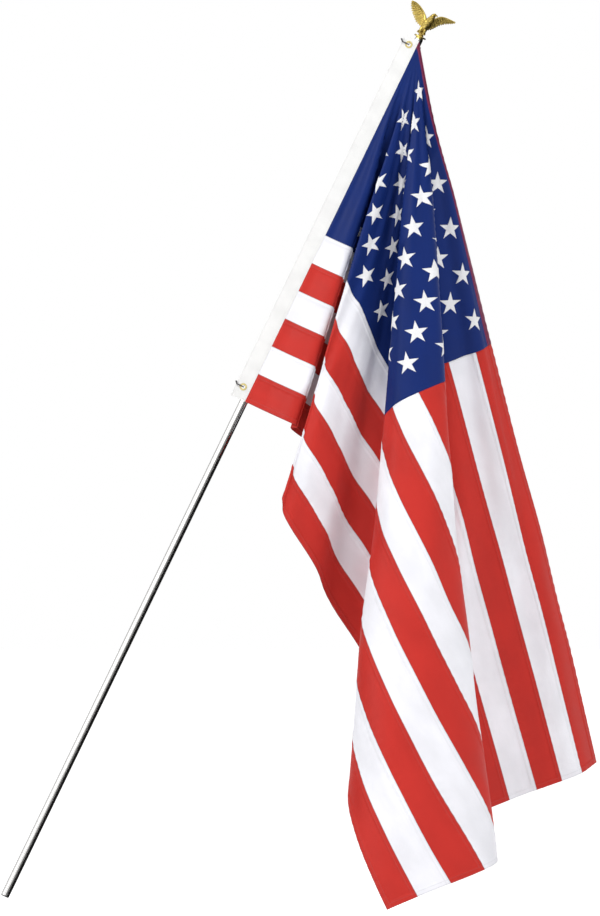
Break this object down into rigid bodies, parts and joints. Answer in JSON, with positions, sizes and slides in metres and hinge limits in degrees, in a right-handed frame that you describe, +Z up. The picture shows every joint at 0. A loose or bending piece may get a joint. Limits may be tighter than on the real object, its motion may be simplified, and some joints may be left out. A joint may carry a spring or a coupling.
{
  "type": "hand flag on pole",
  "caption": "Draped hand flag hooked to a leaning two-section steel pole with an eagle finial; the flag swings round the pole, which pulls apart at its middle joint.",
  "frame": {"origin": "centre of the pole's foot face", "axes": "+Z up as the flag hangs, the pole leaning towards +X in the XZ plane, +Y to the back of the cloth"},
  "size_m": [1.1401, 0.5104, 1.7301],
  "materials": {
    "pole_steel": "polished",
    "plug_plastic": "moulded",
    "gilt": "gold plated",
    "stud_brass": "machined",
    "clip_wire": "drawn wire",
    "grommet_brass": "pressed",
    "header_canvas": "canvas",
    "cloth_blue": "woven",
    "cloth_red": "woven",
    "cloth_white": "woven"
  },
  "bodies": {
    "lower_pole": {"lower_tube": "pole_steel", "foot_plug": "plug_plastic"},
    "upper_pole": {"upper_tube": "pole_steel", "top_bush": "gilt"},
    "flag": {"header": "header_canvas", "canton": "cloth_blue", "stripe_01": "cloth_red", "stripe_02": "cloth_white", "stripe_03": "cloth_red", "stripe_04": "cloth_white", "stripe_05": "cloth_red", "stripe_06": "cloth_white", "stripe_07": "cloth_red", "stripe_08": "cloth_white", "stripe_09": "cloth_red", "stripe_10": "cloth_white", "stripe_11": "cloth_red", "stripe_12": "cloth_white", "stripe_13": "cloth_red", "upper_clip": "clip_wire", "lower_clip": "clip_wire", "upper_grommet": "grommet_brass", "lower_grommet": "grommet_brass", "upper_washer": "grommet_brass", "lower_washer": "grommet_brass"},
    "finial": {"eagle": "gilt", "finial_base": "gilt", "finial_stud": "stud_brass"}
  },
  "joints": [
    {"name": "section_pull", "type": "slide", "parent": "lower_pole", "child": "upper_pole", "axis": [0.4352, 0, 0.9003], "range_m": [0, 0.055]},
    {"name": "flag_swing", "type": "hinge", "parent": "upper_pole", "child": "flag", "pos_m": [0.60932, 0, 1.26045], "axis": [0.4352, 0, 0.9003], "continuous": true},
    {"name": "finial_turn", "type": "hinge", "parent": "upper_pole", "child": "finial", "pos_m": [0.78951, 0, 1.63318], "axis": [0.4352, 0, 0.9003], "continuous": true}
  ]
}
